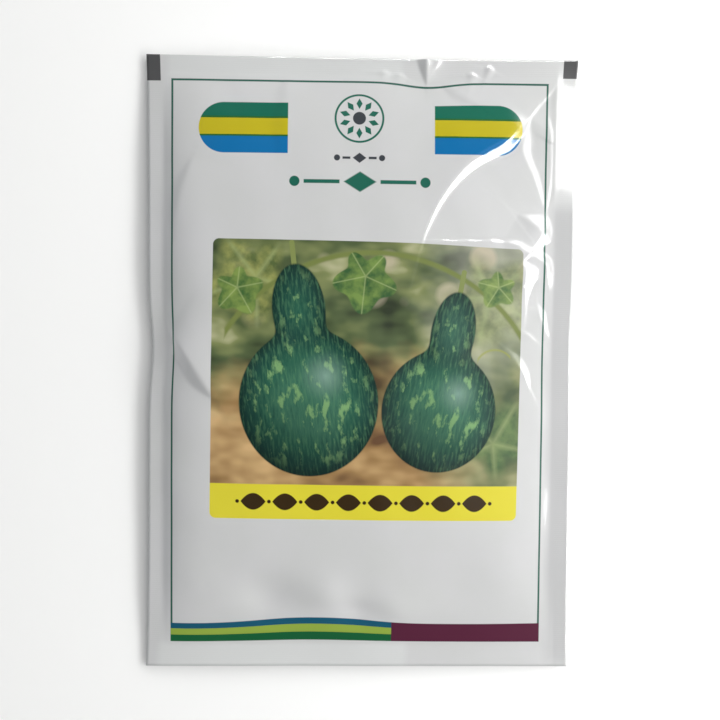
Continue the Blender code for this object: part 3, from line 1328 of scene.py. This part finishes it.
@dataclass(frozen=True)
class Picture:
    """The picture: gourds on the vine before a blurred field, above a yellow band with a seed border."""

    middle: Place = (1.75, -4.3)
    half: Place = (45.8, 41.2)
    corner: float = 1.8
    turn: float = -0.6
    band_top: float = -30.8
    seed_pitch: float = 9.4
    seed_half: Place = (3.7, 2.5)
    seeds_each_way: int = 4
    bead: float = 0.55
    edge: float = 0.09
    background: BlurredField = BlurredField()
    things: tuple[Design, ...] = (
        PrintedLeaf((-33.0, 30.0), 200.0, 15.0, "#a9ad63", "#5f7040", soft=2.2, strength=0.8),
        PrintedLeaf((36.0, 26.0), -30.0, 17.0, "#a3ab78", "#6d7a50", soft=3.0, strength=0.7),
        PrintedLeaf((38.0, -18.0), 60.0, 13.0, "#6c8c56", "#3f6440", soft=2.4, strength=0.7),
        Tendril((2.0, -14.0), 52.0, 1.5, (-44.0, 44.0), "#7e8a4c", soft=0.35),
        PrintedGourd((21.5, -8.5), -9.0, (17.0, 18.2), 23.5, (6.6, 12.5)),
        PrintedGourd((-17.0, -6.5), 7.0, (20.5, 21.8), 27.5, (7.8, 13.5)),
        PrintedLeaf((-1.0, 31.0), -95.0, 11.0, "#7d9a4f", "#3c6238"),
        PrintedLeaf((-38.5, 27.0), -60.0, 8.5, "#88a053", "#456a3a", soft=0.3),
        PrintedLeaf((38.6, 29.0), -120.0, 7.0, "#8ea45d", "#4a6e40", soft=0.35),
        Tendril((38.0, 4.0), 6.0, 0.5, (-5.2, 4.6), "#a5ab63", soft=0.25),
    )

    def seed_border(self, sheet: Sheet, under: Wire) -> Wire:
        """Lays a row of seeds and beads on the yellow band.

        Args:
            sheet: the printed face, with its places counted from the picture's middle.
            under: the colour so far.

        Returns:
            The new colour.
        """
        graph, band_middle = sheet.graph, (self.band_top - self.half[1]) / 2
        up = abs(sheet.along - band_middle)
        share = graph.math("FRACT", sheet.across / self.seed_pitch) - 0.5
        aside = abs(share * self.seed_pitch)
        seeds = up - (1.0 - (aside / self.seed_half[0]) ** 2.0) * self.seed_half[1]
        beads = graph.length(graph.join(self.seed_pitch / 2 - aside, up)) - self.bead
        row_end = self.seeds_each_way * self.seed_pitch + self.bead + self.edge
        shape = graph.largest(graph.smallest(seeds, beads), abs(sheet.across) - row_end)
        return graph.mix(graph.inside(shape, self.edge), under, Ink.BAND_BROWN)

    def lay(self, sheet: Sheet, under: Wire) -> Wire:
        """Lays the picture and its band over what is printed so far.

        Args:
            sheet: the printed face.
            under: the colour so far.

        Returns:
            The new colour.
        """
        here, graph = sheet.turned(self.middle, self.turn), sheet.graph
        colour = self.background.draw(here)
        for thing in self.things:
            colour = thing.lay(here, colour)
        in_band = graph.ramp(here.along, self.band_top + self.edge, self.band_top - self.edge)
        colour = self.seed_border(here, graph.mix(in_band, colour, Ink.BAND_YELLOW))
        return graph.mix(here.box((0.0, 0.0), self.half, self.corner), under, colour)


# Finishes


@dataclass(frozen=True)
class PrintedFilm:
    """Glossy laminate: print under a clear outer layer, with the fine unevenness of rolled film."""

    name: str
    form: FilmForm
    designs: tuple[Design, ...]
    ground: str = "#d8d9d8"
    cloud: Mottle = Mottle(Ink.GROUND, (0.3, 0.7))
    cloud_scale: float = 0.045
    roughness: float = 0.34
    coat_refraction: float = 1.38
    coat_roughness: float = 0.085
    peel_scale: float = 0.9
    peel_height: float = 0.0035
    rib_pitch: float = 0.62
    rib_height: float = 0.004

    def material(self) -> bpy.types.Material:
        """Makes the material.

        Returns:
            The material, whose print is read from the panel's map of film places.
        """
        graph = Graph.of_material(self.name)
        shares = graph.read("ShaderNodeUVMap", {}, uv_map=FILM_MAP)
        from_middle = graph.vector("SUBTRACT", shares, (0.5, 0.5, 0.0))
        place = graph.vector("MULTIPLY", from_middle, (self.form.width, self.form.length, 0.0))
        sheet = Sheet(graph, place, *graph.split(place))
        colour = self.cloud.over(graph, graph.noise(place, self.cloud_scale, 3.0, 0.6), self.ground)
        for design in self.designs:
            colour = design.lay(sheet, colour)
        relief = self.relief(sheet)
        graph.shade(
            base_color=colour,
            roughness=self.roughness,
            specular_ior_level=0.0,
            coat_weight=1.0,
            coat_ior=self.coat_refraction,
            coat_roughness=self.coat_roughness,
            normal=relief,
            coat_normal=relief,
        )
        return graph.owner

    def relief(self, sheet: Sheet) -> Wire:
        """Works out the film's fine unevenness, and the sealing bar's ribs on the seals.

        Args:
            sheet: the printed face.

        Returns:
            The way that the surface faces.
        """
        graph, form = sheet.graph, self.form
        peel = graph.noise(sheet.place, self.peel_scale) * self.peel_height
        inner_half = (form.width / 2 - form.left_seal, form.length / 2 - form.top_seal)
        on_seal = 1.0 - sheet.box((0.0, 0.0), inner_half)
        ribs = graph.math("SINE", sheet.along * (2 * math.pi / self.rib_pitch)) * on_seal * self.rib_height
        return graph.read("ShaderNodeBump", {"Strength": 1.0, "Distance": MM, "Height": peel + ribs})


@dataclass(frozen=True)
class FilmInside:
    """The laminate's silvery inner layer, which also shows along the cut edges."""

    dull: str = "#bcbdbf"
    bright: Mottle = Mottle("#d3d4d5", (0.3, 0.7))
    cloud_scale: float = 60.0
    roughness: float = 0.3
    metallic: float = 0.55

    def material(self) -> bpy.types.Material:
        """Makes the material.

        Returns:
            The material.
        """
        graph = Graph.of_material("film_inside")
        place = graph.read("ShaderNodeTexCoord", {}, "Object")
        colour = self.bright.over(graph, graph.noise(place, self.cloud_scale, 3.0), self.dull)
        graph.shade(base_color=colour, roughness=self.roughness, metallic=self.metallic)
        return graph.owner


@dataclass(frozen=True)
class SeedCoat:
    """The dry, fibrous coat of a bottle gourd seed, pale brown with darker streaks and scurf."""

    coat: Scale = ((0.0, "#7b5836"), (0.5, "#a37c4e"), (1.0, "#c8a775"))
    coat_levels: Place = (0.3, 0.7)
    blotch_scale: float = 180.0
    fibres: Mottle = Mottle("#dcc496", (0.55, 0.75), 0.5)
    fibre_scale: float = 900.0
    fibre_stretch: tuple[float, float, float] = (1.0, 0.35, 1.0)
    roughness: float = 0.45
    fibre_roughness: float = 0.3
    relief: float = 0.00008

    def material(self) -> bpy.types.Material:
        """Makes the material.

        Returns:
            The material.
        """
        graph = Graph.of_material("seed_coat")
        place = graph.read("ShaderNodeTexCoord", {}, "Object")
        blotch = graph.ramp(graph.noise(place, self.blotch_scale, 4.0, 0.6), *self.coat_levels)
        fibre_place = graph.vector("MULTIPLY", place, self.fibre_stretch)
        fibre = graph.noise(fibre_place, self.fibre_scale, 5.0, 0.65)
        graph.shade(
            base_color=self.fibres.over(graph, fibre, graph.colours(blotch, self.coat)),
            roughness=fibre * self.fibre_roughness + self.roughness,
            normal=graph.read("ShaderNodeBump", {"Distance": self.relief, "Height": fibre}),
        )
        return graph.owner


@dataclass(frozen=True)
class FloorFinish:
    """The plain pale floor."""

    colour: str = "#fcfcfb"
    roughness: float = 0.85

    def material(self) -> bpy.types.Material:
        """Makes the material.

        Returns:
            The material.
        """
        graph = Graph.of_material("pale_floor")
        graph.shade(base_color=linear(self.colour), roughness=self.roughness)
        return graph.owner


# The pieces


def add_object(name: str, data: bpy.types.ID) -> bpy.types.Object:
    """Makes an object of a mesh, lamp or camera.

    Args:
        name: the object's name.
        data: the mesh, lamp or camera.

    Returns:
        The object, in the scene.
    """
    made = bpy.data.objects.new(name, data)
    bpy.context.scene.collection.objects.link(made)
    return made


@dataclass(frozen=True)
class Panel:
    """One film panel of the packet, made as a fine sheet that follows the form and given its thickness."""

    face: Face
    form: FilmForm
    designs: tuple[Design, ...]
    coarse: float
    fine: float
    fine_from: Place

    @property
    def node(self) -> str:
        """The name of the solid that this panel stands for."""
        return f"{self.face.value}_panel"

    def stations(self, half: float, fine_from: float) -> Array:
        """Divides the film one way, coarsely up to a place and finely from there.

        Args:
            half: half the film's size that way.
            fine_from: where the fine part starts.

        Returns:
            The places of the divisions, from one cut edge to the other.
        """
        coarse_steps = max(1, round((fine_from + half) / self.coarse))
        fine_steps = max(1, round((half - fine_from) / self.fine))
        low = np.linspace(-half, fine_from, coarse_steps + 1)
        high = np.linspace(fine_from, half, fine_steps + 1)
        return np.concatenate([low[:-1], high])

    def build(self) -> bpy.types.Object:
        """Makes the panel's mesh and object.

        Returns:
            The panel, with its film map and its thickness.
        """
        form = self.form
        across_at = self.stations(form.width / 2, self.fine_from[0])
        along_at = self.stations(form.length / 2, self.fine_from[1])
        across, along = np.meshgrid(across_at, along_at)
        outer = form.front if self.face is Face.FRONT else form.back
        points = outer(across, along).reshape(-1, 3) * MM
        columns, rows = len(across_at), len(along_at)
        first = (np.arange(rows - 1)[:, None] * columns + np.arange(columns - 1)[None, :]).ravel()
        corners = np.stack([first, first + 1, first + columns + 1, first + columns], axis=1)
        if self.face is Face.BACK:
            corners = corners[:, ::-1]
        mesh = bpy.data.meshes.new(f"{self.face.value}_film")
        mesh.from_pydata(points.tolist(), [], corners.tolist())
        mesh.shade_smooth()
        reading = across if self.face is Face.FRONT else -across
        shares = np.stack([reading / form.width + 0.5, along / form.length + 0.5], axis=-1).reshape(-1, 2)
        film_map = mesh.uv_layers.new(name=FILM_MAP)
        film_map.uv.foreach_set("vector", shares[corners.ravel()].astype(np.float32).ravel())
        piece = add_object(f"{self.face.value}_film", mesh)
        thickness = piece.modifiers.new("film", "SOLIDIFY")
        thickness.thickness = form.film * MM
        thickness.offset = -1.0
        thickness.material_offset = 1
        thickness.material_offset_rim = 1
        return piece

    def dress(self, piece: bpy.types.Object) -> None:
        """Gives the panel its finishes and its place in the model.

        Args:
            piece: the panel's object.
        """
        printed = PrintedFilm(f"{self.face.value}_print", self.form, self.designs)
        for finish in (printed, FilmInside()):
            piece.data.materials.append(finish.material())
        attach(piece, ROOT_BODY)
        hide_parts(self.node)


@dataclass(frozen=True)
class Seeds:
    """The loose seeds inside, which keep their own solids."""

    prefix: str = "seed_"
    finish: SeedCoat = SeedCoat()

    def dress(self, nodes: dict[str, bpy.types.Object]) -> int:
        """Gives every seed its finish.

        Args:
            nodes: the model's objects by name.

        Returns:
            How many seeds there are.
        """
        coat = self.finish.material()
        seeds = [piece for name, piece in nodes.items() if name.startswith(self.prefix)]
        for piece in seeds:
            piece.data.materials.clear()
            piece.data.materials.append(coat)
        return len(seeds)


# The studio


@dataclass(frozen=True)
class Lamp:
    """A flat softbox that faces the packet."""

    name: str
    place: tuple[float, float, float]
    size: Place
    power: float
    mirror_only: bool = False

    def build(self) -> bpy.types.Object:
        """Makes the softbox.

        Returns:
            The lamp's object.
        """
        data = bpy.data.lights.new(self.name, "AREA")
        data.shape = "RECTANGLE"
        data.size, data.size_y = (side * MM for side in self.size)
        data.energy = self.power
        lamp = add_object(self.name, data)
        lamp.location = Vector(self.place) * MM
        lamp.rotation_euler = (-lamp.location).to_track_quat("-Z", "Y").to_euler()
        lamp.visible_diffuse = not self.mirror_only
        return lamp


@dataclass(frozen=True)
class Room:
    """The soft light from all round.

    It is brighter on the right, and dim overhead and below the packet's foot, where the photographer
    stands. A wide pale patch of ceiling lies at the right of that.
    """

    left: str = "#868a8f"
    right: str = "#fefdfa"
    strength: float = 1.24
    foot_share: float = 0.45
    foot_between: Place = (-0.7, 0.1)
    overhead_share: float = 0.22
    overhead_size: Place = (11.0, 30.0)
    patch_towards: tuple[float, float, float] = (0.36, 0.02, 0.93)
    patch_size: float = 26.0
    patch_strength: float = 1.5

    def build(self) -> None:
        """Makes the world that gives this light."""
        world = bpy.data.worlds.new("room")
        graph = Graph(world, "Background")
        towards = graph.read("ShaderNodeTexCoord", {}, "Generated")
        rightwards, headwards = graph.split(towards)
        colour = graph.mix(graph.ramp(rightwards, -1.0, 1.0), self.left, self.right)
        inner, outer = (math.cos(math.radians(size)) for size in self.overhead_size)
        round_about = graph.ramp(graph.dot(towards, (0.0, 0.0, 1.0)), inner, outer)
        base = round_about * (1.0 - self.overhead_share) + self.overhead_share
        by_foot = graph.ramp(headwards, *self.foot_between) * (1.0 - self.foot_share) + self.foot_share
        nearness = graph.dot(towards, tuple(Vector(self.patch_towards).normalized()))
        glow = graph.ramp(nearness, math.cos(math.radians(self.patch_size)), 1.0) ** 2.0
        graph.shade(color=colour, strength=base * by_foot * self.strength + glow * self.patch_strength)
        bpy.context.scene.world = world


WINDOW_SIZE: Place = (420.0, 165.0)
WINDOW_LIGHT = 0.62
NEAR_WINDOW = (363.0, -169.0, 264.0)
FAR_WINDOW = (346.0, 200.0, 264.0)


@dataclass(frozen=True)
class Studio:
    """The floor, the softboxes and the camera, which looks straight down on the packet."""

    lamps: tuple[Lamp, ...] = (
        Lamp("near_window", NEAR_WINDOW, WINDOW_SIZE, power=WINDOW_LIGHT),
        Lamp("near_window_glare", NEAR_WINDOW, WINDOW_SIZE, power=18.0, mirror_only=True),
        Lamp("near_window_core", (356.0, -166.0, 259.0), (330.0, 90.0), power=3.6, mirror_only=True),
        Lamp("far_window", FAR_WINDOW, WINDOW_SIZE, power=WINDOW_LIGHT),
        Lamp("far_window_glare", FAR_WINDOW, WINDOW_SIZE, power=16.0, mirror_only=True),
        Lamp("skylight_glare", (100.0, 400.0, 215.0), (300.0, 110.0), power=6.5, mirror_only=True),
    )
    room: Room = Room()
    floor_half: float = 1200.0
    frame_middle: Place = (-0.2, 1.9)
    frame_width: float = 214.2
    lens: float = 60.0
    sensor: float = 36.0
    lean_across: float = -1.7
    lean_along: float = 3.05
    roll: float = 0.57
    aim_height: float = 5.0

    def camera(self) -> None:
        """Places the camera so that its frame holds the same width of table as the photograph's."""
        data = bpy.data.cameras.new("camera")
        data.lens, data.sensor_width = self.lens, self.sensor
        camera = add_object("camera", data)
        distance = self.frame_width * self.lens / self.sensor
        aim = Vector((*self.frame_middle, self.aim_height))
        lean = [math.tan(math.radians(angle)) for angle in (self.lean_across, self.lean_along)]
        out = Vector((*lean, 1.0)).normalized()
        camera.location = (aim + out * distance) * MM
        right = Vector((0.0, 1.0, 0.0)).cross(out).normalized()
        up = out.cross(right)
        turn = math.radians(self.roll)
        rolled_right = right * math.cos(turn) + up * math.sin(turn)
        rolled_up = up * math.cos(turn) - right * math.sin(turn)
        camera.rotation_mode = "QUATERNION"
        camera.rotation_quaternion = Matrix((rolled_right, rolled_up, out)).transposed().to_quaternion()
        bpy.context.scene.camera = camera

    def floor(self) -> None:
        """Makes the floor, which belongs to the studio and not to the packet."""
        half = self.floor_half * MM
        mesh = bpy.data.meshes.new("floor")
        corners = [(-half, -half, 0.0), (half, -half, 0.0), (half, half, 0.0), (-half, half, 0.0)]
        mesh.from_pydata(corners, [], [(0, 1, 2, 3)])
        mesh.materials.append(FloorFinish().material())
        floor = add_object("floor", mesh)

    def build(self) -> None:
        """Builds the whole studio."""
        self.floor()
        self.room.build()
        for lamp in self.lamps:
            lamp.build()
        self.camera()
        bpy.context.scene.view_settings.view_transform = "Standard"


FRONT_DESIGNS: tuple[Design, ...] = (
    # Painted light: lighter tints that brighten the left parts of the foot and head seals.
    Block((-23.0, -89.0), (37.0, 4.2), Ink.SEAL_WHITE, corner=0.6, soft=1.6),
    Block((-23.0, 88.6), (34.0, 2.8), Ink.SEAL_WHITE, corner=0.6, soft=1.6),
    # Painted shade: a soft grey tint that darkens the right seal.
    Block((61.6, -21.0), (3.4, 68.0), Ink.SEAL_GREY, corner=0.6, soft=3.0),
    BorderLine(),
    FootStripes(),
    StripedBar((-35.1, 69.9), (13.1, 7.5), Side.LEFT),
    StripedBar((34.2, 70.05), (13.1, 7.4), Side.RIGHT),
    Block((-62.1, 87.7), (2.2, 3.9), Ink.MARK_GREY),
    Block((62.1, 88.9), (2.4, 2.7), Ink.MARK_GREY),
    Badge(),
    Divider(
        (-1.0, 61.3),
        half_length=6.6,
        thickness=0.7,
        lozenge_half=(2.0, 1.5),
        bead=0.9,
        gap=0.7,
        ink=Ink.BADGE_DARK,
    ),
    Divider((-0.8, 54.3)),
    Picture(),
)
BACK_DESIGNS: tuple[Design, ...] = (
    BorderLine(),
    FootStripes(),
    Block((0.0, 66.0), (44.0, 9.0), Ink.PALE_GREEN, corner=2.0, soft=0.09),
    Divider((0.0, 48.0)),
    Block((0.0, 22.0), (44.0, 18.0), Ink.PALE_GREEN, corner=2.0, soft=0.09),
    BlankTable(),
)


def main() -> None:
    """Builds the packet's looks around its solids, piece by piece."""
    logging.basicConfig(level=logging.INFO, format="%(name)s: %(message)s")
    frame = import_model()
    Studio().build()
    form = FilmForm()
    panels = (
        Panel(Face.FRONT, form, FRONT_DESIGNS, coarse=0.85, fine=0.42, fine_from=(12.0, -12.0)),
        Panel(Face.BACK, form, BACK_DESIGNS, coarse=1.3, fine=1.3, fine_from=(0.0, 0.0)),
    )
    for panel in panels:
        piece = panel.build()
        panel.dress(piece)
        logger.info("%s: %d faces, on %s", piece.name, len(piece.data.polygons), panel.node)
    logger.info("seeds: %d", Seeds().dress(frame["nodes"]))


if __name__ == "__main__":
    main()
